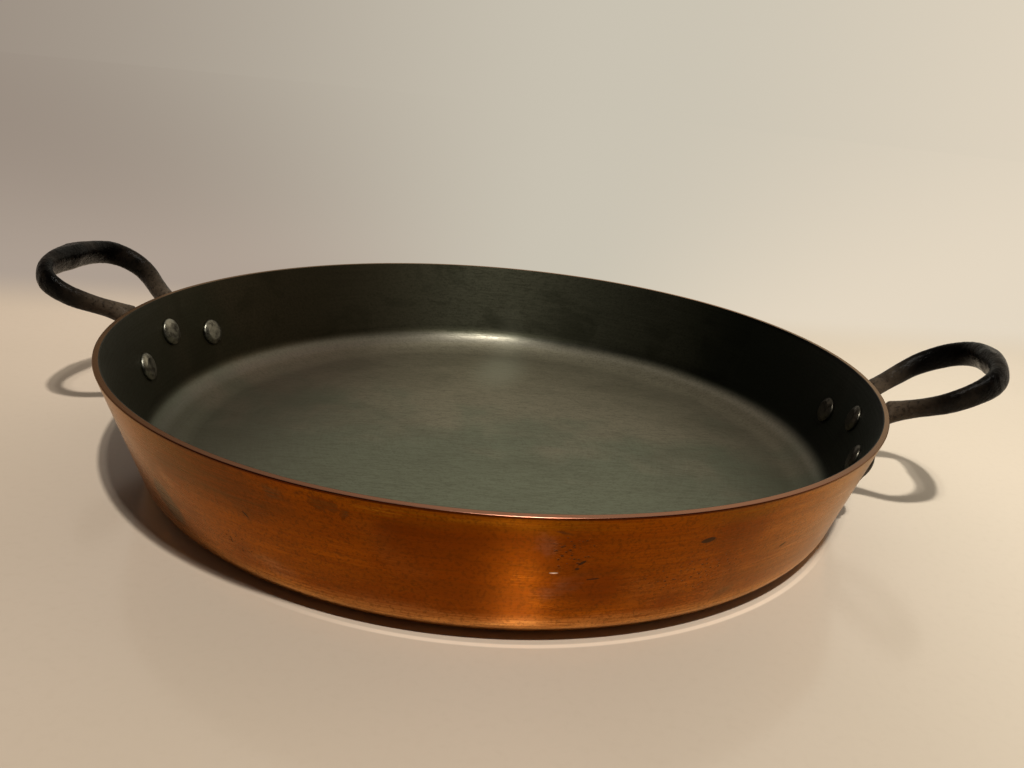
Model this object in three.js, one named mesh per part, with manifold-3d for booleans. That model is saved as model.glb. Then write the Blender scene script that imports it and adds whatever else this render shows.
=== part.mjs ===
// Round copper gratin pan with two iron loop handles. Millimetres, +Z up.
// The origin is the centre of the resting face, and +X runs through the right handle.
// A dished copper sheet carries a thin tin lining. Each handle is a forged loop with a
// winged foot, held against the wall by three rivets that pass through tin, copper and iron.
import * as THREE from "three";
import { mergeVertices } from "three/addons/utils/BufferGeometryUtils.js";
import Module from "manifold-3d";

const wasm = await Module();
wasm.setup();

// Pan: copper sheet
const rimRadius = 150;
const panHeight = 47;
const wallLean = THREE.MathUtils.degToRad(15.6);
const cornerRadius = 11;
const copperThickness = 1.8;

// Pan: tin lining
const tinThickness = 0.3;
const bondGap = 0.1;

// Rivets
const rivetShankRadius = 2.8;
const rivetHoleClearance = 0.3;
const innerHeadRadius = 5.8;
const innerHeadHeight = 1.9;
const innerHeadSquareness = 0.45;
const outerHeadRadius = 5.6;
const outerHeadHeight = 1.9;
const outerHeadSquareness = 0.75;
const headSeatGap = 0.25;
const lowerRivetDrop = 21;
const upperRivetDrop = 14.3;
const lowerRivetSpread = 27.5;

// Handle foot: a plate with two ears round the lower rivets and a crest below the rim
const footThickness = 2.5;
const footGap = 0.3;
const earRadius = 9.2;
const earTopAngle = THREE.MathUtils.degToRad(72);
const crestDrop = 4.4;
const crestHalfWidth = 17.5;

// Handle loop: an oval bar on a plane that rises outwards. A lean tips the bar's upper edge
// away from the loop's middle.
const loopDrop = 5.9;
const loopTilt = THREE.MathUtils.degToRad(29.2);
const loopReach = { right: 45.8, left: 39.4 };
const loopHalfWidth = { right: 23.8, left: 27.3 };
const legHalfSpread = 12.8;
const legSplay = 0.26;
const bellyDistance = 25.5;
// Fullness of the curves between leg, belly and tip, as shares of the distance they span
const legFullness = 0.6;
const bellyFullness = 0.34;
const bowFullness = 0.75;
const tipFullness = 0.66;
const barAtFoot = { halfThickness: 3.8, halfHeight: 2.6, lean: 0.55 };
const barAtBelly = { halfThickness: 2.2, halfHeight: 4.2, lean: 0.22 };
const barAtTip = { halfThickness: 4.1, halfHeight: 5.5, lean: -0.1 };
const barSquareness = 0.85;

// Fineness of the round shapes
const panSegments = 96;
const cornerSteps = 4;
const rivetSegments = 20;
const headSteps = 4;
const outlineSteps = 8;
const barSides = 14;
const barSteps = 20;

const upright = new THREE.Vector3(0, 0, 1);

// Solids and cuts

function solidFrom(geometry) {
  const bare = geometry.clone();
  bare.deleteAttribute("normal");
  bare.deleteAttribute("uv");
  const merged = mergeVertices(bare, 1e-4);
  const vertProperties = new Float32Array(merged.attributes.position.array);
  const triVerts = new Uint32Array(merged.index.array);
  return new wasm.Manifold(new wasm.Mesh({ numProp: 3, vertProperties, triVerts }));
}

function geometryFrom(solid) {
  const mesh = solid.getMesh();
  const geometry = new THREE.BufferGeometry();
  geometry.setAttribute("position", new THREE.BufferAttribute(mesh.vertProperties, 3));
  geometry.setIndex(new THREE.BufferAttribute(mesh.triVerts, 1));
  geometry.computeVertexNormals();
  return geometry;
}

// A profile of [radius, height] points turned about the Z axis
function turned(profile, segments) {
  const points = profile.map(([radius, height]) => new THREE.Vector2(radius, height));
  return new THREE.LatheGeometry(points, segments).rotateX(Math.PI / 2);
}

// The pan's outer face, moved inwards by an offset (outwards where it is negative)

function wallRadius(height, offset = 0) {
  const fall = (panHeight - height) * Math.tan(wallLean);
  return rimRadius - fall - offset / Math.cos(wallLean);
}

function cornerCentreRadius() {
  return wallRadius(cornerRadius, cornerRadius);
}

function dishProfile(offset) {
  const centre = cornerCentreRadius();
  const radius = cornerRadius - offset;
  const points = [[0, offset]];
  for (let i = 0; i <= cornerSteps; i++) {
    const angle = THREE.MathUtils.lerp(-Math.PI / 2, -wallLean, i / cornerSteps);
    points.push([centre + radius * Math.cos(angle), cornerRadius + radius * Math.sin(angle)]);
  }
  points.push([wallRadius(panHeight, offset), panHeight]);
  return points;
}

// A dished sheet between two offsets from the outer face
function dish(outerOffset, innerOffset) {
  const profile = [...dishProfile(outerOffset), ...dishProfile(innerOffset).reverse()];
  return turned(profile, panSegments);
}

// Rivet places, seen from the handle on +X: side is -1, 0 or +1 along Y

function rivetPlace(side) {
  const height = panHeight - (side === 0 ? upperRivetDrop : lowerRivetDrop);
  const radius = wallRadius(height);
  const angle = (side * lowerRivetSpread) / radius;
  const position = new THREE.Vector3(radius * Math.cos(angle), radius * Math.sin(angle), height);
  const normal = new THREE.Vector3(Math.cos(angle), Math.sin(angle), -Math.tan(wallLean));
  return { position, normal: normal.normalize() };
}

const rivetPlaces = [-1, 0, 1].map(rivetPlace);

function rivetHole({ position, normal }) {
  const radius = rivetShankRadius + rivetHoleClearance;
  const length = 4 * (copperThickness + tinThickness + footThickness);
  const hole = new THREE.CylinderGeometry(radius, radius, length, rivetSegments);
  hole.rotateX(Math.PI / 2);
  hole.applyQuaternion(new THREE.Quaternion().setFromUnitVectors(upright, normal));
  hole.translate(position.x, position.y, position.z);
  return solidFrom(hole);
}

function withRivetHoles(solid) {
  return rivetPlaces.reduce((rest, place) => rest.subtract(rivetHole(place)), solid);
}

// A sheet of the pan, pierced for both handles
function piercedDish(outerOffset, innerOffset) {
  const halfTurn = [0, 0, 180];
  const onceHoled = withRivetHoles(solidFrom(dish(outerOffset, innerOffset)));
  return geometryFrom(withRivetHoles(onceHoled.rotate(halfTurn)).rotate(halfTurn));
}

// One rivet along +Z, with the copper's outer face at zero: a button head inside the pan and
// a rounder head on the handle's foot

function headProfile(radius, height, squareness) {
  const points = [];
  for (let i = 0; i <= headSteps; i++) {
    const angle = (i / headSteps) * (Math.PI / 2);
    const across = i === headSteps ? 0 : radius * Math.cos(angle) ** squareness;
    points.push([across, height * Math.sin(angle) ** squareness]);
  }
  return points;
}

function rivetGeometry() {
  const innerSeat = -(copperThickness + bondGap + tinThickness + headSeatGap);
  const outerSeat = footGap + footThickness + headSeatGap;
  const inner = headProfile(innerHeadRadius, innerHeadHeight, innerHeadSquareness);
  const outer = headProfile(outerHeadRadius, outerHeadHeight, outerHeadSquareness);
  const profile = [
    ...inner.reverse().map(([radius, height]) => [radius, innerSeat - height]),
    [rivetShankRadius, innerSeat],
    [rivetShankRadius, outerSeat],
    ...outer.map(([radius, height]) => [radius, outerSeat + height]),
  ];
  return turned(profile, rivetSegments);
}

// Handle foot, drawn as seen from outside the pan and curved to the wall

function footOutline() {
  const ear = rivetPlaces[2].position;
  const earFoot = ear.z - earRadius;
  const saddle = rivetPlaces[1].position.z - earRadius;
  const crest = panHeight - crestDrop;
  const half = new THREE.Path();
  half.moveTo(0, saddle);
  half.bezierCurveTo(ear.y / 2, saddle, ear.y / 2, earFoot, ear.y, earFoot);
  half.absarc(ear.y, ear.z, earRadius, -Math.PI / 2, earTopAngle);
  half.bezierCurveTo(ear.y, ear.z + earRadius, ear.y, crest, crestHalfWidth, crest);
  const points = half.getPoints(outlineSteps);
  const mirrored = points.slice(1).reverse().map((point) => new THREE.Vector2(-point.x, point.y));
  return new THREE.Shape([...points, ...mirrored]);
}

function footPlate() {
  const blank = new THREE.ExtrudeGeometry(footOutline(), {
    depth: rimRadius,
    steps: 1,
    bevelEnabled: false,
  });
  const acrossAndUp = new THREE.Matrix4().makeBasis(
    new THREE.Vector3(0, 1, 0),
    new THREE.Vector3(0, 0, 1),
    new THREE.Vector3(1, 0, 0),
  );
  blank.applyMatrix4(acrossAndUp).translate(rimRadius / 2, 0, 0);
  const back = -footGap;
  const face = back - footThickness;
  const sleeve = turned([
    [wallRadius(0, face), 0],
    [wallRadius(panHeight, face), panHeight],
    [wallRadius(panHeight, back), panHeight],
    [wallRadius(0, back), 0],
    [wallRadius(0, face), 0],
  ], panSegments);
  return solidFrom(blank).intersect(solidFrom(sleeve));
}

// Handle loop: an oval bar along an omega-shaped curve in a plane that rises outwards.
// On that plane x runs out from the rim and y runs along the pan's Y axis.

function halfLoop(side) {
  const reach = loopReach[side];
  const halfWidth = loopHalfWidth[side];
  const legAt = (out) => new THREE.Vector2(out, -legHalfSpread - legSplay * out);
  const rootDepth = 2 * (footThickness + footGap);
  const belly = new THREE.Vector2(bellyDistance, -halfWidth);
  const leg = new THREE.CubicBezierCurve(
    legAt(-rootDepth),
    legAt((1 - legFullness) * bellyDistance),
    new THREE.Vector2((1 - bellyFullness) * bellyDistance, -halfWidth),
    belly,
  );
  const bow = new THREE.CubicBezierCurve(
    belly,
    new THREE.Vector2(THREE.MathUtils.lerp(bellyDistance, reach, bowFullness), -halfWidth),
    new THREE.Vector2(reach, -tipFullness * halfWidth),
    new THREE.Vector2(reach, 0),
  );
  const half = new THREE.CurvePath();
  half.add(leg);
  half.add(bow);
  return half;
}

// Stations from one foot round the tip to the other: a place, a direction, and the share of
// the way from foot to tip
function loopStations(side) {
  const half = halfLoop(side);
  const near = [];
  for (let i = 0; i <= barSteps; i++) {
    const share = i / barSteps;
    near.push({ place: half.getPointAt(share), along: half.getTangentAt(share), share });
  }
  const far = near.slice(0, -1).reverse().map(({ place, along, share }) => ({
    place: new THREE.Vector2(place.x, -place.y),
    along: new THREE.Vector2(-along.x, along.y),
    share,
  }));
  return [...near, ...far];
}

// A size that passes smoothly through its values at foot, belly and tip
function barSize(key, share) {
  const footPart = barAtFoot[key] * (1 - share) * (1 - 2 * share);
  const bellyPart = barAtBelly[key] * 4 * share * (1 - share);
  const tipPart = barAtTip[key] * share * (2 * share - 1);
  return footPart + bellyPart + tipPart;
}

function barRing({ place, along, share }) {
  const centre = new THREE.Vector3(place.x, place.y, 0);
  const outward = new THREE.Vector3(along.y, -along.x, 0);
  const direction = new THREE.Vector3(along.x, along.y, 0);
  const lean = barSize("lean", share);
  const broad = outward.clone().applyAxisAngle(direction, lean);
  const tall = upright.clone().applyAxisAngle(direction, lean);
  const ring = [];
  for (let i = 0; i < barSides; i++) {
    const angle = (i / barSides) * 2 * Math.PI;
    const x = barSize("halfThickness", share) * softened(Math.cos(angle));
    const y = barSize("halfHeight", share) * softened(Math.sin(angle));
    ring.push(centre.clone().addScaledVector(broad, x).addScaledVector(tall, y));
  }
  return ring;
}

// Squares a circle's sine or cosine off slightly, as a hammered bar is
function softened(wave) {
  return Math.sign(wave) * Math.abs(wave) ** barSquareness;
}

// Rings of points joined into one closed body with flat ends
function lofted(rings) {
  const sides = rings[0].length;
  const points = rings.flat();
  const faces = [];
  for (let ring = 0; ring + 1 < rings.length; ring++) {
    for (let side = 0; side < sides; side++) {
      const a = ring * sides + side;
      const b = ring * sides + ((side + 1) % sides);
      faces.push(a, a + sides, b, b, a + sides, b + sides);
    }
  }
  const last = points.length - sides;
  for (let side = 1; side + 1 < sides; side++) {
    faces.push(0, side, side + 1);
    faces.push(last, last + side + 1, last + side);
  }
  return new THREE.BufferGeometry().setFromPoints(points).setIndex(faces);
}

function loopBar(side) {
  const bar = lofted(loopStations(side).map(barRing));
  bar.rotateY(-loopTilt);
  bar.translate(rimRadius, 0, panHeight - loopDrop);
  return solidFrom(bar);
}

// Everything the pan takes up, with the foot's gap around it
function wallClearance() {
  const below = -cornerRadius;
  const above = 2 * panHeight;
  return solidFrom(turned([
    [0, below],
    [wallRadius(below, -footGap), below],
    [wallRadius(above, -footGap), above],
    [0, above],
  ], panSegments));
}

function handleGeometry(side) {
  const forged = loopBar(side).subtract(wallClearance()).add(footPlate());
  return geometryFrom(withRivetHoles(forged));
}

// Materials

const finishes = {
  copper: { color: 0xb87650, roughness: 0.35, metalness: 1 },
  tin: { color: 0x4b4d40, roughness: 0.4, metalness: 1 },
  iron: { color: 0x1d1916, roughness: 0.55, metalness: 0.6 },
  rivet: { color: 0x77746a, roughness: 0.45, metalness: 1 },
};

function namedMesh(name, geometry, finish) {
  const mesh = new THREE.Mesh(geometry, new THREE.MeshStandardMaterial(finishes[finish]));
  mesh.name = name;
  return mesh;
}

// Assembly

const pan = new THREE.Group();
pan.add(namedMesh("copper_body", piercedDish(0, copperThickness), "copper"));
const liningOffset = copperThickness + bondGap;
pan.add(namedMesh("tin_lining", piercedDish(liningOffset, liningOffset + tinThickness), "tin"));

for (const side of ["right", "left"]) {
  const turnedRound = side === "left";
  const end = new THREE.Group();
  end.rotation.z = turnedRound ? Math.PI : 0;
  end.add(namedMesh(`${side}_handle`, handleGeometry(side), "iron"));
  const rivetNames = turnedRound ? ["rear", "upper", "front"] : ["front", "upper", "rear"];
  rivetPlaces.forEach(({ position, normal }, i) => {
    const rivet = namedMesh(`${side}_${rivetNames[i]}_rivet`, rivetGeometry(), "rivet");
    rivet.position.copy(position);
    rivet.quaternion.setFromUnitVectors(upright, normal);
    end.add(rivet);
  });
  pan.add(end);
}

export default pan;
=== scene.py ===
# %% [markdown]
# # A round copper gratin pan
# The pan is a dished copper sheet with a skin of tin inside and two forged iron loops riveted
# to its wall. The packed solids are the fixed frame. They already hold the true sizes, so each
# finer piece below is made in the same place and at the same size. Lengths are in metres, +Z is
# up, +X runs through the right handle, and the origin is the middle of the underside.

# %% Load the packed solids
import math

import bmesh
import bpy
from mathutils import Matrix, Vector, noise


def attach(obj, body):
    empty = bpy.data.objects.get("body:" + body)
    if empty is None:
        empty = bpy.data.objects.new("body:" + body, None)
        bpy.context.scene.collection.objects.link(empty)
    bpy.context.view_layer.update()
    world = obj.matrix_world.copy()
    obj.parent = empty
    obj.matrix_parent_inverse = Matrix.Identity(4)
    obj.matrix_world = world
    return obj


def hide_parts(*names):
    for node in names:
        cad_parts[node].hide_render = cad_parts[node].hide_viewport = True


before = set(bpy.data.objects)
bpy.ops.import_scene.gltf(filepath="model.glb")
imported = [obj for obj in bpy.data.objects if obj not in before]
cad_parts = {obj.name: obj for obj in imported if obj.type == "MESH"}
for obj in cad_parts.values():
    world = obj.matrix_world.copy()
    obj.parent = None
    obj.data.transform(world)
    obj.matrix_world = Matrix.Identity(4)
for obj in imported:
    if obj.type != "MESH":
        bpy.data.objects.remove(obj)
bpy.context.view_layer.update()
print("solids:", ", ".join(sorted(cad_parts)))

# %% [markdown]
# ## Camera
# A picture from a phone is a plain perspective view. Its place is given by the point looked at,
# the distance to it, and three angles in radians: the turn round the pan, the height and the
# roll. The small shift is the rest of the framing: the picture's middle isn't the middle of the
# lens.

# %% Place the camera
MM = 0.001

look_at = Vector((31.1, -103.9, 47.3)) * MM
distance = 247.4 * MM
turn, height_angle, roll = 0.0532, 0.4061, 0.1097

backwards = Vector((
    math.sin(turn) * math.cos(height_angle),
    -math.cos(turn) * math.cos(height_angle),
    math.sin(height_angle),
))
level_right = (-backwards).cross(Vector((0, 0, 1))).normalized()
level_up = level_right.cross(-backwards)
across = level_right * math.cos(roll) + level_up * math.sin(roll)
upwards = -level_right * math.sin(roll) + level_up * math.cos(roll)

lens = bpy.data.cameras.new("camera")
lens.sensor_width = 36
lens.lens = 29.57
lens.shift_x = -0.0458
lens.shift_y = 0.0643
lens.clip_start = 0.01
camera = bpy.data.objects.new("camera", lens)
bpy.context.scene.collection.objects.link(camera)
camera.matrix_world = Matrix.Translation(look_at + backwards * distance) @ Matrix(
    (across, upwards, backwards)).transposed().to_4x4()
bpy.context.scene.camera = camera
print("camera at", [round(x, 3) for x in camera.location])

# %% [markdown]
# ## Helpers for finishes
# A finish is a small network of nodes. Written one node at a time it is long and hard to read,
# so a few short helpers stand for the usual steps: a noise, a soft step between two levels, a
# blend of two colours, a bump. Every pattern reads Object coordinates, which are metres in the
# pan's own frame, so a number such as 0.5 mm in a finish is 0.5 mm on the metal.

# %% Helpers for finishes
class Finish:
    """A node material that is built up step by step."""

    def __init__(self, name):
        self.material = bpy.data.materials.new(name)
        self.material.use_nodes = True
        self.tree = self.material.node_tree
        self.tree.nodes.clear()
        self.place = self.node("ShaderNodeTexCoord").outputs["Object"]

    def node(self, kind, *values, **settings):
        """Adds a node. Values go to its inputs in order, each a socket to link or a plain value."""
        made = self.tree.nodes.new(kind)
        for key, setting in settings.items():
            setattr(made, key, setting)
        for socket, value in zip(made.inputs, values):
            self.feed(socket, value)
        return made

    def feed(self, socket, value):
        if isinstance(value, bpy.types.NodeSocket):
            self.tree.links.new(value, socket)
        elif value is not None:
            socket.default_value = value

    def chain(self, operation, first, *others):
        """Joins two values, then the result with the third, and so on."""
        for other in others:
            first = self.node("ShaderNodeMath", first, other, operation=operation).outputs[0]
        return first

    def sum(self, *values):
        return self.chain("ADD", *values)

    def product(self, *values):
        return self.chain("MULTIPLY", *values)

    def largest(self, *values):
        return self.chain("MAXIMUM", *values)

    def length(self, vector):
        return self.node("ShaderNodeVectorMath", vector, operation="LENGTH").outputs["Value"]

    def parts(self, vector):
        return self.node("ShaderNodeSeparateXYZ", vector).outputs

    def joined(self, x, y, z):
        return self.node("ShaderNodeCombineXYZ", x, y, z).outputs[0]

    def stretched(self, vector, x, y, z):
        """The vector with each part divided by a length, so that a pattern has that size."""
        scales = (1 / x, 1 / y, 1 / z)
        return self.node("ShaderNodeVectorMath", vector, scales, operation="MULTIPLY").outputs[0]

    def turned(self, vector, degrees):
        """The vector turned about the Z axis."""
        turn = (0, 0, math.radians(degrees))
        return self.node("ShaderNodeMapping", vector, None, turn).outputs[0]

    def moved(self, vector, offset):
        return self.node("ShaderNodeVectorMath", vector, offset, operation="ADD").outputs[0]

    def noise(self, vector, size=1.0, detail=2.0, roughness=0.5, warp=0.0):
        """A cloud pattern whose blots are about size across."""
        made = self.node("ShaderNodeTexNoise")
        for key, value in {"Vector": vector, "Scale": 1 / size, "Detail": detail,
                           "Roughness": roughness, "Distortion": warp}.items():
            self.feed(made.inputs[key], value)
        return made.outputs["Fac"]

    def dots(self, vector, size, share):
        """Small round dots, one in each cell of about this size, in a share of the cells."""
        cells = self.node("ShaderNodeTexVoronoi", feature="F1")
        self.feed(cells.inputs["Vector"], self.stretched(vector, *size))
        self.feed(cells.inputs["Scale"], 1.0)
        chosen = self.step(self.parts(cells.outputs["Color"])[0], 1 - share, 1.02 - share)
        dot_edge, dot_floor = 0.3, 0.16
        return self.product(self.step(cells.outputs["Distance"], dot_edge, dot_floor), chosen)

    def step(self, value, low, high, start=0.0, end=1.0):
        """Rises smoothly from start to end as the value goes from low to high."""
        return self.node("ShaderNodeMapRange", value, low, high, start, end,
                         interpolation_type="SMOOTHSTEP").outputs[0]

    def blend(self, share, a, b, way="MIX"):
        """Colour a where the share is 0 and b where it is 1."""
        made = self.node("ShaderNodeMix", data_type="RGBA", blend_type=way)
        share_input, a_input, b_input = (made.inputs[number] for number in (0, 6, 7))
        for socket, value in {share_input: share, a_input: a, b_input: b}.items():
            ready = isinstance(value, (float, bpy.types.NodeSocket))
            self.feed(socket, value if ready else (*value, 1))
        return made.outputs[2]

    def stained(self, colour, stain, mask, cover=1.0):
        """The colour with a stain over it where the mask is 1. Cover is how much it hides."""
        return self.blend(self.product(mask, cover), colour, stain)

    def shaded(self, colour, factors, mask):
        """The colour with its red, green and blue multiplied where the mask is 1."""
        return self.blend(mask, colour, factors, way="MULTIPLY")

    def bump(self, heights, depth, normal=None):
        """Relief: depth is the height in metres of a full step of the heights."""
        made = self.node("ShaderNodeBump")
        for key, value in {"Height": heights, "Distance": depth, "Normal": normal}.items():
            self.feed(made.inputs[key], value)
        return made.outputs["Normal"]

    def surface(self, **inputs):
        """The last step: the shader itself."""
        shader = self.node("ShaderNodeBsdfPrincipled")
        for key, value in inputs.items():
            socket = shader.inputs[key.replace("_", " ")]
            colour = isinstance(value, tuple) and len(value) == 3
            self.feed(socket, (*value, 1) if colour else value)
        self.node("ShaderNodeOutputMaterial", shader.outputs[0])
        print("finish", self.material.name, "has", len(self.tree.nodes), "nodes")
        return self.material


print("steps that a finish knows:", ", ".join(name for name in vars(Finish) if name[0] != "_"))

# %% [markdown]
# ## Shape of the pan's wall
# The whole pan follows one outer line: a flat floor, a round corner and a straight wall that
# leans out to the rim. Both metals and all six rivets take their places from it, so it is
# written once. The solids leave a hair of air between copper and tin where the real metals
# touch. Here the copper takes that hair up, so its sheet is 1.9 mm thick and not 1.8 mm.

# %% Sizes of the wall
rim_radius = 150 * MM
pan_height = 47 * MM
wall_lean = math.radians(15.6)
corner_radius = 11 * MM
copper_thickness = 1.9 * MM
tin_thickness = 0.3 * MM


def wall_radius(height, offset=0.0):
    """Radius of the outer face at a height, or of a face set in from it by an offset."""
    fall = (pan_height - height) * math.tan(wall_lean)
    return rim_radius - fall - offset / math.cos(wall_lean)


print("floor line meets wall line at radius", round(wall_radius(0) / MM, 1), "mm")

# %% [markdown]
# ## Turned pieces
# A pan is pressed and then spun on a lathe. Spin does the same here: the cut edge of the sheet
# is drawn once as a chain of vertices, its corners are rounded with a vertex bevel, and the
# chain is spun a full turn about the pan's axis. No facet of a corner bends by more than 0.11
# radian, so that no flat shows in the mirror-like metal.

# %% Helpers for turned pieces
finest_bend = 0.11
turn_steps = 256


def rounded_chain(shape, corners):
    """Draws a chain of edges. Each corner is (radius, height, rounding); 0 leaves it sharp."""
    made = [shape.verts.new((radius, 0, height)) for radius, height, _ in corners]
    for one, other in zip(made, made[1:]):
        shape.edges.new((one, other))
    for vertex, (_, _, rounding) in list(zip(made, corners))[1:-1]:
        if rounding:
            before, after = [edge.other_vert(vertex).co - vertex.co for edge in vertex.link_edges]
            bend = math.pi - before.angle(after)
            bmesh.ops.bevel(shape, geom=[vertex], offset=rounding * math.tan(bend / 2),
                            offset_type="OFFSET", segments=max(2, math.ceil(bend / finest_bend)),
                            profile=0.5, affect="VERTICES", material=-1)


def spun(shape, steps):
    """Turns the chain a full turn about the Z axis and closes it."""
    bmesh.ops.spin(shape, geom=shape.verts[:] + shape.edges[:], cent=(0, 0, 0), axis=(0, 0, 1),
                   angle=math.tau, steps=steps, use_merge=True)
    bmesh.ops.remove_doubles(shape, verts=shape.verts, dist=0.001 * MM)
    bmesh.ops.recalc_face_normals(shape, faces=shape.faces)


def piece(name, shape, finishes, slot, *nodes, crease=40):
    """Makes the object, shades it smooth except at its creases, and puts it in the frame."""
    mesh = bpy.data.meshes.new(name)
    shape.to_mesh(mesh)
    shape.free()
    for finish in finishes:
        mesh.materials.append(finish)
    mesh.shade_smooth()
    mesh.set_sharp_from_angle(angle=math.radians(crease))
    made = bpy.data.objects.new(name, mesh)
    bpy.context.scene.collection.objects.link(made)
    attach(made, "root")
    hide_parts(*nodes)
    print(name, "has", len(mesh.polygons), "faces")


print("flats round the rim are", round(math.tau * rim_radius / turn_steps / MM, 1), "mm long")

# %% [markdown]
# ## Copper finish
# The outside is copper that is polished now and then and tarnishes between. It is smooth enough
# to mirror the table, and the fine brush lines that run round the wall spread that mirror image
# up and down. Tarnish could be painted on by hand. Here it is put together from noises and from
# ovals that are placed on the wall in millimetres, because those stay sharp close by and are
# quickly moved. The brush lines are a noise squeezed across the sheet and stretched along it. It
# is measured along the sheet, as height plus radius, so that it also makes rings on the flat
# underside.

# %% Helpers for the outer wall
def sheet_streaks(finish, along, thick, detail=3.0):
    """Streaks that run round the pan: their length and thickness are in metres."""
    x, y, z = finish.parts(finish.place)
    over_sheet = finish.sum(z, finish.length(finish.joined(x, y, 0.0)))
    return finish.noise(finish.stretched(finish.joined(x, y, over_sheet), along, along, thick),
                        detail=detail)


def spot(finish, angle, height, half_wide, half_tall, lean=0.0, fray=0.0, soft=0.3):
    """1 inside an oval on the outer wall and 0 outside.

    The angle is from the front and the lean from the level, in degrees, and the rest is in
    millimetres. Fray makes the edge ragged, and soft is the share of the oval that fades. The
    ragged noise is turned and warped, because its grid would show as straight edges. The last
    step keeps the oval from showing on the far side of the pan as well.
    """
    turn_to = math.radians(angle)
    radius = wall_radius(height * MM)
    centre = Vector((radius * math.sin(turn_to), -radius * math.cos(turn_to), height * MM))
    round_wall = Vector((math.cos(turn_to), math.sin(turn_to), 0))
    outwards = Vector((math.sin(turn_to), -math.cos(turn_to), 0))
    tilt = math.radians(lean)
    wide = (round_wall * math.cos(tilt) + Vector((0, 0, math.sin(tilt)))) / (half_wide * MM)
    tall = (Vector((0, 0, math.cos(tilt))) - round_wall * math.sin(tilt)) / (half_tall * MM)
    offset = finish.moved(finish.place, -centre)
    u, v, facing = (
        finish.node("ShaderNodeVectorMath", offset, way, operation="DOT_PRODUCT").outputs["Value"]
        for way in (wide, tall, outwards))
    out = finish.length(finish.joined(u, v, 0.0))
    if fray:
        ragged = finish.noise(finish.turned(finish.place, 33), size=5 * MM, detail=4.0,
                              roughness=0.6, warp=0.7)
        out = finish.sum(out, finish.product(finish.sum(ragged, -0.5), fray))
    near = finish.step(facing, -(half_wide + 8) * MM, -(half_wide + 7) * MM)
    return finish.product(finish.step(out, 1.0, 1 - soft), near)


def spots(finish, *ovals):
    """1 inside any of several ovals, each written as the numbers of a spot."""
    return finish.largest(*(spot(finish, *oval) for oval in ovals))


wall_flare = wall_radius(pan_height) - wall_radius(0)
print("the wall leans out by", round(wall_flare / MM, 1), "mm from the foot to the rim")

# %% Copper finish
copper = Finish("copper")
along_x, _, height_up = copper.parts(copper.place)
brush_lines = sheet_streaks(copper, 16 * MM, 0.45 * MM)
broad_lines = sheet_streaks(copper, 60 * MM, 3.5 * MM, detail=2.0)
clouds = copper.noise(copper.place, size=42 * MM, detail=3.0, roughness=0.55, warp=0.4)
other_clouds = copper.noise(copper.moved(copper.place, (0.3, 0.1, 0.2)), size=26 * MM, detail=3.0)
mottle = copper.noise(copper.place, size=1.0 * MM, detail=4.0, roughness=0.6)

orange, brown, dark_brown = (0.44, 0.106, 0.0012), (0.235, 0.044, 0.0004), (0.10, 0.027, 0.002)
rosy, violet = (0.50, 0.19, 0.05), (0.20, 0.085, 0.045)
gold, grey = (0.30, 0.105, 0.001), (0.12, 0.072, 0.030)
# Pale orange for the painted reflection by the foot.
painted_reflection_colour = (0.92, 0.44, 0.12)

colour = copper.blend(copper.step(clouds, 0.38, 0.66), orange, brown)
colour = copper.blend(copper.step(other_clouds, 0.54, 0.75, 0.0, 0.3), colour, rosy)
higher_up = copper.step(height_up, 10 * MM, 40 * MM, 0.0, 0.6)
colour = copper.shaded(colour, (0.5, 0.44, 0.3), higher_up)
# Painted reflection: the low band by the foot is lightened to a pale orange, standing for the
# bright table and the glint that the rounded foot mirrors.
reflection_by_the_foot = copper.step(height_up, 12 * MM, 4 * MM, 0.0, 0.7)
colour = copper.blend(reflection_by_the_foot, colour, painted_reflection_colour)
below_the_rim = copper.product(
    copper.step(height_up, 39 * MM, 45 * MM), copper.step(clouds, 0.3, 0.6))
colour = copper.stained(colour, gold, below_the_rim, 0.6)
print("the plain copper takes", len(copper.tree.nodes), "nodes")

# %% [markdown]
# ### Tarnish
# Tarnish is a skin of oxide, and its colour tells its thickness: gold, rose, violet, then brown
# and grey. It grows where hands, steam and the cloth leave it to, so it lies in soft patches.
# Each patch is a colour, how much it hides, and the ovals that make it up, each with the angle
# from the front, height, half width, half height, lean, fray and softness of a spot. The broad
# ones come first and the small ones over them. Not every patch is tarnish: the paler right side
# is a painted reflection of the bright table and room, and the rosy haze by the foot is partly
# tarnish and partly a painted reflection of the bright table in front.

# %% Tarnish
patches = {
    "dull shoulder": ((0.085, 0.032, 0.011), 0.72, [(-25, 40, 38, 14, -4, 0.8, 0.7)]),
    "pale lobes": ((0.46, 0.19, 0.075), 0.6, [
        (-34.2, 29.4, 6, 3.5, -30, 1.2, 0.9), (-18, 13, 11, 4, -10, 1.2, 0.9)]),
    "warm front": ((0.46, 0.115, 0.001), 0.22, [(4, 24, 52, 24, 0, 0.8, 0.9)]),
    # Painted reflection: the right side is made paler, where the wall mirrors the bright table and
    # room.
    "painted reflection on the right": ((0.58, 0.2, 0.022), 0.4, [(50, 24, 45, 40, 0, 0.6, 0.9)]),
    "gold strip": ((0.46, 0.155, 0.008), 0.45, [
        (-4, 44.2, 9, 2.4, -2, 1.0, 0.8), (7, 44.5, 20, 2, 0, 1.2, 0.9)]),
    # Partly rosy tarnish and partly a painted reflection of the bright table in front of the foot.
    "rosy haze and painted reflection by the foot": (rosy, 0.45, [
        (-3, 9, 26, 6, -3, 0.8, 0.9), (22, 8, 17, 4.5, 0, 0.8, 0.9)]),
    "violet haze": (violet, 0.52, [(15, 22, 10, 4, 30, 1.8, 1.0), (13, 37, 5, 5, 0, 1.8, 1.0)]),
}
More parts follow.
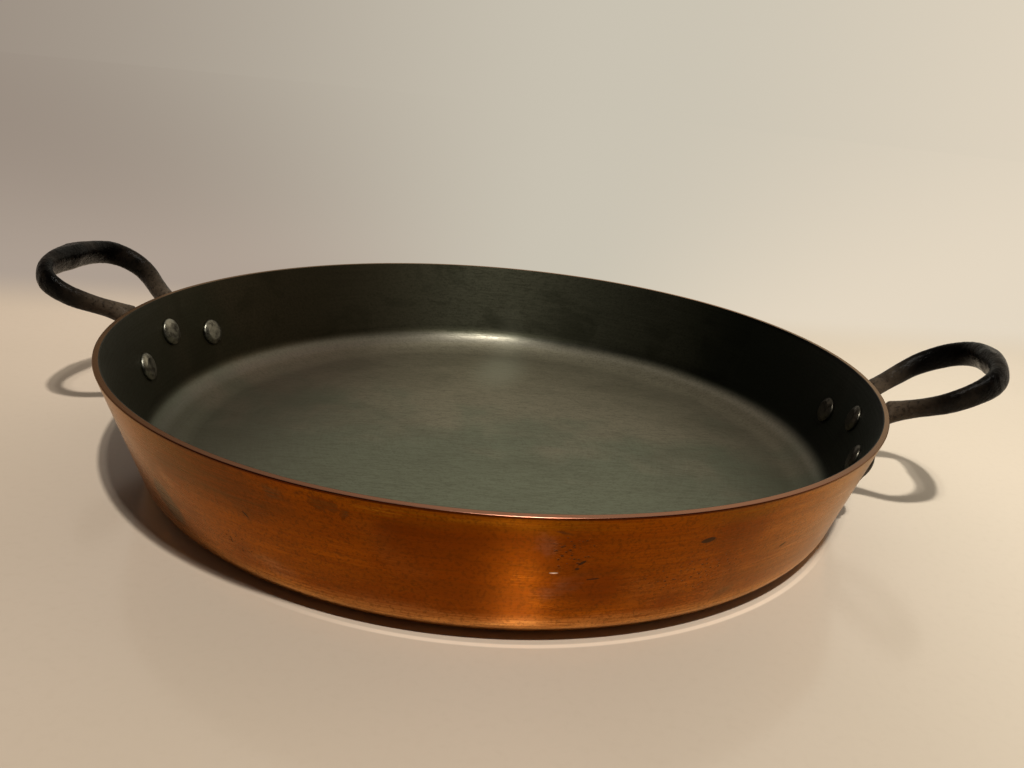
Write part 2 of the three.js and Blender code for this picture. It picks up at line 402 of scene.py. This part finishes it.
for tint, cover, ovals in patches.values():
    colour = copper.stained(colour, tint, spots(copper, *ovals), cover)

# Painted reflection: a near-black patch low on the left stands for the pan's own shadow on the
# table, mirrored in the copper.
painted_shadow_reflection = copper.product(
    spot(copper, -36.8, 17.5, 10, 6.5, lean=-38, fray=0.6, soft=0.35),
    copper.step(height_up, 8 * MM, 12 * MM))
colour = copper.stained(colour, (0.03, 0.028, 0.03), painted_shadow_reflection, 0.92)

blotches = copper.noise(copper.place, size=2.6 * MM, detail=4.0, roughness=0.65)
blotches = copper.step(blotches, 0.42, 0.6)
stain = spot(copper, -9.2, 42, 8, 3, lean=-9, fray=3.2, soft=0.4)
stain_middle = spot(copper, -9.2, 42, 7, 2.4, lean=-9, fray=3.2, soft=0.5)
colour = copper.stained(colour, dark_brown, stain, 0.45)
blotched = copper.sum(copper.product(blotches, 0.4), 0.2)
colour = copper.stained(colour, grey, stain_middle, blotched)
small_stains = spots(copper, (-15.3, 41.5, 4, 2.5, 0, 1.2, 0.8), (37.2, 12, 6, 3.5, 25, 1.0, 0.9))
colour = copper.stained(colour, grey, small_stains, 0.6)

colour = copper.blend(copper.step(broad_lines, 0.42, 0.62, 0.0, 0.22), colour, dark_brown)
colour = copper.blend(copper.step(brush_lines, 0.42, 0.62, 0.0, 0.6), colour, brown)
colour = copper.blend(copper.step(mottle, 0.46, 0.66, 0.0, 0.5), colour, dark_brown)
print("tarnish:", ", ".join(patches))

# %% [markdown]
# ### Pits and scratches
# Salt and acid eat small pits into copper, and they stay dark because no polish reaches their
# floor. They come from a cell pattern with one round dot in some of its cells, kept to two
# places on the wall. Knocks and scratches are single small ovals.

# %% Pits and scratches
coarse_pits = copper.product(
    copper.largest(
        copper.dots(copper.place, (2.1 * MM, 2.1 * MM, 1.2 * MM), 0.6),
        copper.dots(copper.turned(copper.place, 40), (1.5 * MM, 1.5 * MM, 1.0 * MM), 0.5)),
    spot(copper, 15.6, 35, 6.5, 7, lean=-20, fray=0.8, soft=0.4))
fine_pits = copper.product(
    copper.dots(copper.turned(copper.place, 25), (1.7 * MM, 1.7 * MM, 1.0 * MM), 0.7),
    copper.largest(
        spot(copper, -23, 17.5, 9, 4.5, lean=-12, fray=1.0, soft=0.7),
        copper.product(spot(copper, 31, 24, 23, 9, lean=3, fray=1.2, soft=0.9), 0.8)))
pits = copper.largest(coarse_pits, fine_pits)

knocks = spots(copper, (31, 36, 2.7, 1.1, 8), (16.9, 31.4, 1.5, 0.5, 40),
               (16.5, 29.2, 0.7, 0.5), (44.8, 25.4, 1.7, 0.5, 25))
scratches = spots(copper, (-20.1, 30.5, 1.5, 0.4, -50), (18.5, 25.2, 2.2, 0.3, 4))
faint_scratch = copper.product(
    spot(copper, 14.5, 42, 4, 0.6, lean=-14, fray=1.6, soft=0.8), 0.6)
marks = copper.largest(knocks, scratches, faint_scratch, pits)
colour = copper.stained(colour, (0.03, 0.018, 0.012), marks, 0.85)
bright_nick = spot(copper, 14.1, 27.7, 1.35, 0.3)
colour = copper.blend(bright_nick, colour, (0.7, 0.5, 0.36))
print("pits and scratches bring it to", len(copper.tree.nodes), "nodes")

# %% [markdown]
# ### Rim, underside and gloss
# The flat top of the rim is bare, duller metal, browner to the left and greyer by the right
# handle. Right under its edge a thin dark red line is painted on as shade. The underside is
# brown from the fire. The gloss changes slowly with the clouds, is highest by the foot and
# lowest in the marks. Brushed metal spreads a highlight across its lines, and that is what the
# anisotropy does, with its direction taken round the Z axis.

# %% Rim, underside and gloss
underside = copper.step(height_up, 1.5 * MM, 0.2 * MM)
burnt = copper.step(clouds, 0.3, 0.6, 0.4, 0.9)
colour = copper.stained(colour, dark_brown, underside, burnt)
# Painted shade: a thin dark red line right under the rim's edge.
painted_shade_under_the_edge = copper.product(
    copper.step(height_up, 46.1 * MM, 46.3 * MM), copper.step(height_up, 46.92 * MM, 46.86 * MM))
colour = copper.stained(colour, (0.07, 0.010, 0.002), painted_shade_under_the_edge, 0.85)
cut_left, cut_middle, cut_right = (0.115, 0.040, 0.027), (0.36, 0.165, 0.11), (0.150, 0.085, 0.080)
cut_edge = copper.blend(copper.step(along_x, -120 * MM, 20 * MM), cut_left, cut_middle)
cut_edge = copper.blend(copper.step(along_x, 80 * MM, 140 * MM), cut_edge, cut_right)
colour = copper.blend(copper.step(height_up, 46.86 * MM, 46.92 * MM), colour, cut_edge)

uneven = copper.sum(clouds, copper.product(brush_lines, 0.5))
roughness = copper.sum(
    copper.step(uneven, 0.5, 1.1, 0.24, 0.33),
    copper.step(height_up, 8 * MM, 3 * MM, 0.0, -0.07),
    copper.product(copper.largest(marks, stain, underside), 0.15))
relief = copper.bump(brush_lines, 0.03 * MM)
relief = copper.bump(broad_lines, 0.05 * MM, relief)
relief = copper.bump(mottle, 0.02 * MM, relief)
relief = copper.bump(pits, -0.15 * MM, relief)

tangent = copper.node("ShaderNodeTangent", direction_type="RADIAL", axis="Z").outputs[0]
copper_finish = copper.surface(
    Base_Color=colour, Metallic=1.0, Roughness=roughness, Normal=relief,
    Specular_Tint=(1.0, 0.88, 0.68), Anisotropic=0.5, Anisotropic_Rotation=0.25, Tangent=tangent)

# %% [markdown]
# ## Copper body
# The outer line comes from the sizes above, and the inner line is the same set in by the
# sheet's thickness. At the rim the sheet is cut flat. Its outer edge is rounded with a file, so
# that it doesn't cut a hand, and that small rounding catches the lamp as a thin bright line.

# %% Copper body
outer_edge_rounding = 0.4 * MM
corner_inside = corner_radius - copper_thickness

shape = bmesh.new()
rounded_chain(shape, [
    (0, 0, 0),
    (wall_radius(0), 0, corner_radius),
    (rim_radius, pan_height, outer_edge_rounding),
    (wall_radius(pan_height, copper_thickness), pan_height, 0),
    (wall_radius(copper_thickness, copper_thickness), copper_thickness, corner_inside),
    (0, copper_thickness, 0),
])
spun(shape, turn_steps)
piece("pan_copper", shape, [copper_finish], "copper", "copper_body")

# %% [markdown]
# ## Tin finish
# Old tin is dull grey with a green cast, darker where food has sat, and covered in fine wiped
# streaks. It is still a metal, and that is why the wall goes nearly black: it mirrors the dark
# floor and the floor mirrors the pale room. The streaks are a noise stretched along the way of
# the wiping, and the rings come from the tool that wiped the tin round while it was hot.

# %% Tin finish
tin = Finish("tin")
tin_x, tin_y, tin_height = tin.parts(tin.place)
wiping = tin.turned(tin.place, -8)
wiped = tin.noise(tin.stretched(wiping, 5 * MM, 0.9 * MM, 0.9 * MM), detail=4.0, roughness=0.65)
rings = sheet_streaks(tin, 30 * MM, 0.8 * MM)
stains = tin.noise(tin.stretched(wiping, 45 * MM, 26 * MM, 26 * MM), detail=4.0, roughness=0.55,
                   warp=0.6)
tints = tin.noise(tin.moved(tin.place, (0.2, 0.4, 0.1)), size=24 * MM, detail=3.0, warp=0.4)
grain = tin.noise(tin.place, size=0.9 * MM, detail=3.0)

green_tin, brown_tin, dark_tin = (0.160, 0.174, 0.116), (0.235, 0.212, 0.146), (0.085, 0.080, 0.050)
far_half = tin.step(tin.sum(tin_y, tin.product(tints, 0.16)), 60 * MM, 140 * MM)
colour = tin.blend(far_half, green_tin, brown_tin)
sideways = tin.length(tin.joined(tin.sum(tin_x, -12 * MM), 0.0, 0.0))
to_the_sides = tin.step(sideways, 40 * MM, 130 * MM)
colour = tin.shaded(colour, (0.68, 0.65, 0.66), to_the_sides)
colour = tin.blend(tin.step(stains, 0.45, 0.75, 0.0, 0.3), colour, dark_tin)
colour = tin.blend(tin.step(wiped, 0.42, 0.7, 0.0, 0.45), colour, dark_tin)
colour = tin.blend(tin.step(grain, 0.46, 0.74, 0.0, 0.45), colour, dark_tin)
print("the plain tin takes", len(tin.tree.nodes), "nodes")

# %% [markdown]
# ### Wall and corner of the lining
# Food and scrubbing reach the floor most, so the wall is darker, and on top of that the wall's
# colour is painted darker as shade, most of all on the right, which faces away from the lamps.
# The corner, where the tin stands thickest, is the smoothest and palest part, though its colour
# is toned down a little as painted shade where it turns towards the lamps. Masks by height tell
# them apart. The wall's mask starts a little higher on the left, and the wall's tint and painted
# shade go from brown on the left to a cold green on the right. The top of the right wall gets a
# painted shade too. A pale patch of the far floor below the corner is a painted reflection of the
# corner's highlight.

# %% Wall and corner of the lining
higher_on_the_left = tin.product(tin.largest(tin.product(tin_x, -0.02), 0.0), -1.0)
up_the_wall = tin.step(tin.sum(tin_height, higher_on_the_left), 6.5 * MM, 11.5 * MM)
in_the_corner = tin.product(
    tin.step(tin_height, 5 * MM, 7.5 * MM), tin.step(tin_height, 12 * MM, 10 * MM))
above_the_corner = tin.step(tin_height, 10 * MM, 17 * MM)

wall_blots = tin.product(tin.step(stains, 0.5, 0.62), up_the_wall)
colour = tin.stained(colour, dark_tin, wall_blots, 0.35)
# Partly tint and partly painted shade: these factors darken the wall, most of all on the right.
brown_wall_and_shade, middle_wall_and_shade, cold_wall_and_shade = (0.305, 0.285, 0.235), (0.245, 0.265, 0.25), (0.10, 0.13, 0.12)
wall_tint_and_shade = tin.blend(tin.step(tin_x, -120 * MM, -40 * MM), brown_wall_and_shade, middle_wall_and_shade)
wall_tint_and_shade = tin.blend(tin.step(tin_x, 65 * MM, 115 * MM), wall_tint_and_shade, cold_wall_and_shade)
colour = tin.shaded(colour, wall_tint_and_shade, up_the_wall)
# Painted shade: the curved corner, which turns towards the lamps, and the band of its highlight are
# darkened a little.
colour = tin.shaded(colour, (0.84, 0.84, 0.85), tin.step(tin_height, 2.6 * MM, 4.5 * MM))
colour = tin.shaded(colour, (0.92, 0.92, 0.95), in_the_corner)
on_the_left = tin.product(
    tin.step(tin_x, -60 * MM, -110 * MM), tin.step(tin_height, 10 * MM, 7 * MM))
colour = tin.shaded(colour, (0.87, 0.81, 0.82), on_the_left)
# Painted shade: the tin at the top of the right wall, which faces away from the lamps, is darkened.
shade_under_the_rim = tin.product(
    tin.step(tin_x, 90 * MM, 125 * MM), tin.step(tin_height, 45 * MM, 46.5 * MM))
colour = tin.shaded(colour, (0.3, 0.3, 0.3), shade_under_the_rim)
# Painted reflection: a pale patch on the far floor, below the corner's highlight, stands for that
# highlight mirrored in the floor.
from_the_painted_glow = tin.moved(tin.place, (16 * MM, -100 * MM, 0.0))
painted_glow_mask = tin.length(tin.stretched(from_the_painted_glow, 20 * MM, 45 * MM, 1.0))
colour = tin.blend(tin.step(painted_glow_mask, 1.0, 0.1, 0.0, 0.5), colour, (0.36, 0.36, 0.27))

roughness = tin.sum(
    tin.step(tin.sum(wiped, rings), 0.7, 1.3, 0.40, 0.50),
    tin.product(up_the_wall, -0.05),
    tin.product(above_the_corner, 0.17),
    tin.product(in_the_corner, -0.09))
metallic = tin.sum(tin.step(up_the_wall, 0.0, 1.0, 0.75, 1.0), tin.product(in_the_corner, -0.4))
relief = tin.bump(rings, 0.02 * MM)
relief = tin.bump(wiped, 0.015 * MM, relief)
relief = tin.bump(stains, 0.1 * MM, relief)
tangent = tin.node("ShaderNodeTangent", direction_type="RADIAL", axis="Z").outputs[0]
tin_finish = tin.surface(
    Base_Color=colour, Metallic=metallic, Roughness=roughness, Normal=relief,
    Specular_IOR_Level=0.3, Anisotropic=0.3, Anisotropic_Rotation=0.25, Tangent=tangent)

# %% [markdown]
# ## Tin lining
# The tin is wiped on while it is liquid, so it has no edges of its own: it follows the copper
# and stops at the rim. In the corner it pooled before it set, so that corner is rounder than
# the copper behind it.

# %% Tin lining
inner = copper_thickness + tin_thickness
pooled_corner = 17 * MM
tin_edge_fall = 0.1 * MM
shape = bmesh.new()
rounded_chain(shape, [
    (0, copper_thickness, 0),
    (wall_radius(copper_thickness, copper_thickness), copper_thickness, corner_inside),
    (wall_radius(pan_height, copper_thickness), pan_height, 0),
    (wall_radius(pan_height, inner), pan_height - tin_edge_fall, tin_edge_fall),
    (wall_radius(inner, inner), inner, pooled_corner),
    (0, inner, 0),
])
spun(shape, turn_steps)
piece("pan_tin", shape, [tin_finish], "tin", "tin_lining")

# %% [markdown]
# ## Iron finish
# Forged iron keeps a near-black skin. It is dull in the hollows and rubbed to a warm brown
# sheen where hands and cloths touch it, with fine scale and shallow hammer marks all over. Near
# the rim, where steam and washing water stand, the legs of the loops are a little rusty.

# %% Iron finish
iron = Finish("iron")
scale = iron.noise(iron.place, size=1.2 * MM, detail=5.0, roughness=0.62)
hammer = iron.noise(iron.place, size=6 * MM, detail=2.0)
rub = iron.noise(iron.place, size=13 * MM, detail=4.0, roughness=0.6)
black, warm_brown, rusty = (0.0015, 0.0012, 0.001), (0.016, 0.0115, 0.008), (0.085, 0.062, 0.042)
colour = iron.blend(iron.step(rub, 0.44, 0.7), black, warm_brown)
out_from_the_pan = iron.length(iron.place)
by_the_rim = iron.product(
    iron.step(out_from_the_pan, 182 * MM, 156 * MM), iron.step(rub, 0.3, 0.6, 0.5, 1.0))
colour = iron.blend(by_the_rim, colour, rusty)
colour = iron.blend(iron.step(scale, 0.48, 0.7, 0.0, 0.7), colour, black)
roughness = iron.step(iron.sum(scale, rub), 0.75, 1.25, 0.16, 0.36)
relief = iron.bump(hammer, 0.6 * MM)
relief = iron.bump(scale, 0.3 * MM, relief)
iron_finish = iron.surface(Base_Color=colour, Metallic=0.0, Roughness=roughness, Normal=relief,
                           Specular_IOR_Level=0.05)

# %% [markdown]
# ## Handles
# Each handle is one forging: a bar bent to a loop and welded to a winged foot. The solid has
# the right sizes but flat facets. A copy of it is remeshed finely and relaxed, which rounds
# every edge the way hammering and scale do and leaves a soft web where the bar meets the
# foot. Relaxing alone would shrink the bar, so every second pass pushes outwards. A slow noise
# then moves the surface a little, so that no stretch of bar is perfect. Outside the rim the bar
# swells slightly, and its legs spread where they come over the rim, as a smith leaves them.

# %% Handles
skin_size = 0.65 * MM
relax_in, push_out, relax_rounds = 0.5, -0.53, 16
slow_wave, slow_depth = 9 * MM, 0.22 * MM
fine_wave, fine_depth = 4 * MM, 0.06 * MM
swell = 0.4 * MM
swell_starts, swell_full = 150.4 * MM, 152 * MM
root_flare = 1.4 * MM
flare_starts, flare_length = 151 * MM, 12 * MM


def forged_copy(node):
    """A finely remeshed, softened copy of a solid."""
    shape = bmesh.new()
    shape.from_mesh(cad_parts[node].data)
    bmesh.ops.remove_doubles(shape, verts=shape.verts, dist=0.002 * MM)
    mesh = bpy.data.meshes.new("forging")
    shape.to_mesh(mesh)
    rough_piece = bpy.data.objects.new("forging", mesh)
    bpy.context.scene.collection.objects.link(rough_piece)
    remesh = rough_piece.modifiers.new("fine_skin", "REMESH")
    remesh.mode = "VOXEL"
    remesh.voxel_size = skin_size
    bpy.context.view_layer.update()
    shape.clear()
    shape.from_object(rough_piece, bpy.context.evaluated_depsgraph_get())
    bpy.data.objects.remove(rough_piece)
    for factor in (relax_in, push_out) * relax_rounds:
        bmesh.ops.smooth_vert(shape, verts=shape.verts, factor=factor, use_axis_x=True,
                              use_axis_y=True, use_axis_z=True)
    tip = max(abs(vertex.co.x) for vertex in shape.verts)
    top = max(vertex.co.z for vertex in shape.verts)
    for vertex in shape.verts:
        wave = noise.noise(vertex.co / slow_wave) * slow_depth
        wave += noise.noise(vertex.co / fine_wave) * fine_depth
        out = math.hypot(vertex.co.x, vertex.co.y)
        clear_of_the_wall = min(1, max(0, (out - swell_starts) / (swell_full - swell_starts)))
        root = clear_of_the_wall * max(0, 1 - (out - flare_starts) / flare_length) ** 2
        sideways = Vector((0, vertex.normal.y, vertex.normal.z))
        vertex.co += vertex.normal * (wave + swell * clear_of_the_wall)
        vertex.co += sideways * root_flare * root
        vertex.co.x = max(-tip, min(tip, vertex.co.x))
        vertex.co.z = min(top, vertex.co.z)
    bmesh.ops.recalc_face_normals(shape, faces=shape.faces)
    return shape


for side in ("right", "left"):
    handle = f"{side}_handle"
    piece(f"{side}_loop", forged_copy(handle), [iron_finish], "iron", handle, crease=180)

# %% [markdown]
# ## Rivet finishes
# Inside the pan the heads were tinned with the lining and have worn to a dull silver grey.
# Outside they are as dark as the handle's foot. On the right the heads face away from the lamps,
# so the finish is multiplied darker there as painted shade. One function makes both, because
# only their colours and gloss differ.

# %% Rivet finishes
def rivet_finish(name, pale, dark, low, high):
    finish = Finish(name)
    wear = finish.noise(finish.place, size=4 * MM, detail=4.0, roughness=0.6)
    scratches = finish.noise(finish.stretched(finish.place, 5 * MM, 0.6 * MM, 0.6 * MM), detail=3.0)
    shade = finish.blend(finish.step(wear, 0.38, 0.66), pale, dark)
    # Painted shade: the heads on the right are darkened.
    shaded_right_side = finish.step(finish.parts(finish.place)[0], -0.01, 0.01)
    shade = finish.blend(shaded_right_side, shade, (0.35, 0.33, 0.32), way="MULTIPLY")
    rough = finish.step(finish.sum(wear, scratches), 0.7, 1.3, low, high)
    bumps = finish.bump(wear, 0.12 * MM)
    bumps = finish.bump(scratches, 0.02 * MM, bumps)
    return finish.surface(Base_Color=shade, Metallic=1.0, Roughness=rough, Normal=bumps)


worn_head = rivet_finish("rivet_worn", (0.30, 0.29, 0.235), (0.055, 0.05, 0.038), 0.3, 0.45)
dark_head = rivet_finish("rivet_dark", (0.075, 0.052, 0.036), (0.035, 0.026, 0.02), 0.4, 0.6)

# %% [markdown]
# ## Rivets
# A rivet is turned about its own axis and then laid along the wall's normal. The head inside is
# a flat button with a wide chamfer, and the head outside is the hammered end, rounder on top.
# The shank runs through tin, copper and foot, and fills the small gap that the solids leave.

# %% Rivets
rivet_heights = {"upper": 32.7 * MM, "front": 26 * MM, "rear": 26 * MM}
lower_spread = 27.5 * MM
foot_thickness, foot_gap = 2.5 * MM, 0.3 * MM
shank_radius = 2.8 * MM
rivet_turn_steps = 64
inner_head_radius, inner_head_height = 5.8 * MM, 1.9 * MM
outer_head_radius, outer_head_height = 5.6 * MM, 1.9 * MM
# Shares of a head's radius, and of its height from the seat up to the chamfer.
inner_flat, inner_base, inner_shoulder = 0.62, 0.93, 0.42
outer_flat, outer_base, outer_shoulder = 0.45, 0.95, 0.4


def rivet(side, row):
    height = rivet_heights[row]
    radius = wall_radius(height)
    toward = {"upper": 0, "front": -1, "rear": 1}[row] * lower_spread / radius
    angle = toward if side == "right" else math.pi - toward
    normal = Vector((math.cos(angle), math.sin(angle), -math.tan(wall_lean))).normalized()
    middle = Vector((radius * math.cos(angle), radius * math.sin(angle), height))
    seat_in = -(copper_thickness + tin_thickness)
    seat_out = foot_gap + foot_thickness
    tip_in, tip_out = seat_in - inner_head_height, seat_out + outer_head_height
    shape = bmesh.new()
    rounded_chain(shape, [
        (0, tip_in, 0),
        (inner_head_radius * inner_flat, tip_in, 1.5 * MM),
        (inner_head_radius, seat_in - inner_head_height * inner_shoulder, 0.8 * MM),
        (inner_head_radius * inner_base, seat_in, 0.2 * MM),
        (shank_radius, seat_in, 0),
        (shank_radius, seat_out, 0),
        (outer_head_radius * outer_base, seat_out, 0.2 * MM),
        (outer_head_radius, seat_out + outer_head_height * outer_shoulder, 1.2 * MM),
        (outer_head_radius * outer_flat, tip_out, 3 * MM),
        (0, tip_out, 0),
    ])
    spun(shape, rivet_turn_steps)
    for face in shape.faces:
        face.material_index = 1 if face.calc_center_median().z > 0 else 0
    lay = Vector((0, 0, 1)).rotation_difference(normal).to_matrix().to_4x4()
    bmesh.ops.transform(shape, matrix=Matrix.Translation(middle) @ lay, verts=shape.verts)
    return shape


for side in ("right", "left"):
    for row in ("front", "upper", "rear"):
        node = f"{side}_{row}_rivet"
        piece(f"{side}_{row}_rivet_forged", rivet(side, row), [worn_head, dark_head], "rivet", node,
              crease=50)

# %% [markdown]
# ## Table and backdrop
# The pan stands on a plain pale surface. Close by, the table is a lit, satin material that takes
# the pan's shadow. Further out it turns into a backdrop that glows at its own colour for the
# camera and for reflections only, so that the horizon doesn't show. The backdrop's colour
# depends on the direction alone, and the room below uses it as well.

# %% Table
table_radius = 6
table_shape = bmesh.new()
bmesh.ops.create_circle(table_shape, cap_ends=True, segments=96, radius=table_radius)
table_mesh = bpy.data.meshes.new("table")
table_shape.to_mesh(table_mesh)
table_shape.free()
table = bpy.data.objects.new("table", table_mesh)
bpy.context.scene.collection.objects.link(table)

wall_left, wall_left_high = (0.42, 0.345, 0.285), (0.31, 0.255, 0.21)
wall_middle, wall_right = (0.59, 0.545, 0.45), (0.78, 0.68, 0.54)


def backdrop(finish, direction, high=1.0):
    """The backdrop's colour in a direction: darker to the left, and most of all high up."""
    x = finish.parts(direction)[0]
    left = finish.blend(high, wall_left, wall_left_high)
    left_half = finish.blend(finish.step(x, -0.75, 0.0), left, wall_middle)
    return finish.blend(finish.step(x, -0.05, 0.6), left_half, wall_right)


print("the table is", 2 * table_radius, "m across")

# %% [markdown]
# ### Table finish
# The lit part of the table grows brighter towards the back and the right, where more of the
# room's light falls, and a little at the far left. In front of the pan the polished copper throws
# a thin line of light on the table. Tracing such a line takes very many samples, so it is laid on
# as a brighter ring just outside the shadow. The backdrop starts at a line behind the pan, which
# runs slantwise like the wall of the room.

# %% Table finish
paper = Finish("table")
table_x, table_y, _ = paper.parts(paper.place)
from_the_middle = paper.length(paper.place)
speckle = paper.noise(paper.place, size=3 * MM, detail=4.0)
sweep = paper.noise(paper.place, size=160 * MM, detail=2.0)
near_colour = paper.blend(paper.step(sweep, 0.3, 0.7), (0.535, 0.44, 0.344), (0.56, 0.46, 0.364))
speckled = paper.step(speckle, 0.45, 0.8, 0.0, 0.25)
near_colour = paper.blend(speckled, near_colour, (0.50, 0.405, 0.315))
near_colour = paper.shaded(near_colour, (0.94, 0.99, 1.0), paper.step(table_x, 0.0, 220 * MM))

brightness = paper.sum(
    paper.step(table_y, -180 * MM, 200 * MM, 0.98, 1.6),
    paper.step(table_x, 50 * MM, 250 * MM, 0.0, 0.38),
    paper.step(table_x, -120 * MM, -250 * MM, 0.0, 0.11))
thrown_line = paper.product(
    paper.step(from_the_middle, 138.0 * MM, 138.7 * MM),
    paper.step(from_the_middle, 140.3 * MM, 139.6 * MM),
    paper.step(table_y, -40 * MM, -100 * MM, 0.0, 0.42),
    paper.step(table_x, -60 * MM, 0.0))
brightness = paper.product(brightness, paper.sum(thrown_line, 1.0))
near_colour = paper.node("ShaderNodeVectorMath", near_colour, operation="SCALE")
paper.feed(near_colour.inputs["Scale"], brightness)

satin = paper.node("ShaderNodeBsdfPrincipled")
for key, value in {"Base Color": near_colour.outputs[0], "Roughness": 0.15,
                   "Normal": paper.bump(speckle, 0.01 * MM)}.items():
    paper.feed(satin.inputs[key], value)

outward = paper.node("ShaderNodeVectorMath", paper.place, operation="NORMALIZE").outputs[0]
closeness = paper.node("ShaderNodeMath", 1.0, from_the_middle, operation="DIVIDE").outputs[0]
high_up = paper.step(closeness, 2.8, 0.2)
glow = paper.node("ShaderNodeEmission", backdrop(paper, outward, high_up), 1.0)
slant = math.radians(15.43)
behind_the_line = paper.sum(
    paper.product(table_y, math.cos(slant)), paper.product(table_x, -math.sin(slant)))
far = paper.largest(
    paper.step(behind_the_line, 170 * MM, 270 * MM),
    paper.step(from_the_middle, 400 * MM, 900 * MM))
seen = paper.node("ShaderNodeLightPath")
seen = paper.largest(seen.outputs["Is Camera Ray"], seen.outputs["Is Glossy Ray"])
mixed = paper.node(
    "ShaderNodeMixShader", paper.product(far, seen), satin.outputs[0], glow.outputs[0])
paper.node("ShaderNodeOutputMaterial", mixed.outputs[0])
table_mesh.materials.append(paper.material)
print("finish", paper.material.name, "has", len(paper.tree.nodes), "nodes")

# %% [markdown]
# ## Light
# Two soft lamps hang close together above and in front of the pan, to the right, a strong one
# and a weak one. Their places set where the handles' shadows fall and where the bright bands
# stand on the copper. The room's own pale light fills the rest.

# %% Lamps
lamp_width = 45 * MM
lamp_colour = (1.0, 0.965, 0.90)


def ceiling_lamp(name, place, watts):
    lamp = bpy.data.lights.new(name, "AREA")
    lamp.shape = "DISK"
    lamp.size = lamp_width
    lamp.energy = watts
    lamp.color = lamp_colour
    hung = bpy.data.objects.new(name, lamp)
    bpy.context.scene.collection.objects.link(hung)
    hung.location = place
    hung.rotation_euler = (-hung.location).to_track_quat("-Z", "Y").to_euler()
    print(name, "gives", watts, "W from", round(hung.location.length, 2), "m away")


ceiling_lamp("main_lamp", (0.212, -0.497, 1.08), 10.5)
ceiling_lamp("second_lamp", (0.150, -0.512, 1.08), 2.0)

# %% [markdown]
# ## Room
# Metal shows what stands round it, so the room matters as much as the lamps. Behind the pan it
# has the backdrop's colours. In front, where somebody would stand, it is dark, and that gives
# the copper and the iron their depth. The camera sees the backdrop in every direction.

# %% Room
class Room(Finish):
    """The world is a network of the same nodes."""

    def __init__(self, name):
        self.world = bpy.data.worlds.new(name)
        self.world.use_nodes = True
        self.tree = self.world.node_tree
        self.tree.nodes.clear()
        self.place = self.node("ShaderNodeTexCoord").outputs["Generated"]


room = Room("room")
bpy.context.scene.world = room.world
path = room.node("ShaderNodeLightPath")
_, ahead, above = room.parts(room.place)
behind = room.product(room.step(ahead, -0.2, 0.6), room.step(above, 0.2, 0.7, 1.0, 0.95))
dark_front = (0.035, 0.03, 0.025)
around = room.blend(behind, dark_front, backdrop(room, room.place))
around = room.node("ShaderNodeBackground", around, 1.0)
seen_wall = room.node("ShaderNodeBackground", backdrop(room, room.place), 1.0)
mixed = room.node("ShaderNodeMixShader", path.outputs["Is Camera Ray"], around.outputs[0],
                  seen_wall.outputs[0])
room.node("ShaderNodeOutputWorld", mixed.outputs[0])
print("world", room.world.name, "has", len(room.tree.nodes), "nodes")

bpy.context.scene.view_settings.view_transform = "Standard"

# %% [markdown]
# The finished model has to stay inside the box of the solids.
